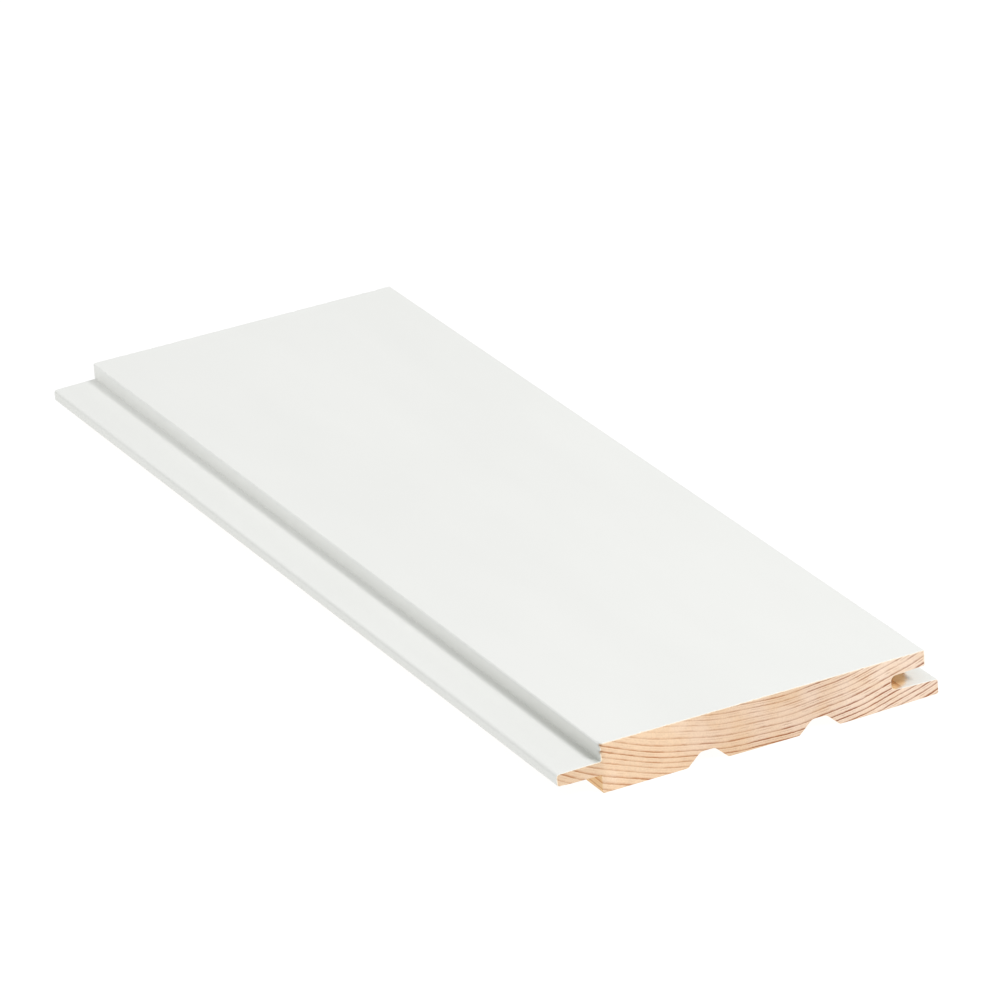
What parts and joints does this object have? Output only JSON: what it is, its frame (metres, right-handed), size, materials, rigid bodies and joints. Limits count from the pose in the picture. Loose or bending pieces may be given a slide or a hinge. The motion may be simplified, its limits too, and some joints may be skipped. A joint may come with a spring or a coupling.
{
  "type": "tongue and groove board",
  "caption": "Flat pine wall board with a tongue along one long edge, a groove along the other and relief channels in its back, painted white on its face.",
  "frame": {"origin": "on the floor under the middle of the board, which lies on its back", "axes": "+X across the board from the tongue to the groove, +Y along the grain, +Z out of the painted face"},
  "size_m": [0.12, 0.33, 0.015],
  "materials": {
    "painted_pine": "satin white paint on the face, the tongue and the lips, over planed pine that is bare on the back and sawn at the ends"
  },
  "bodies": {
    "root": {"board": "painted_pine"}
  },
  "joints": []
}
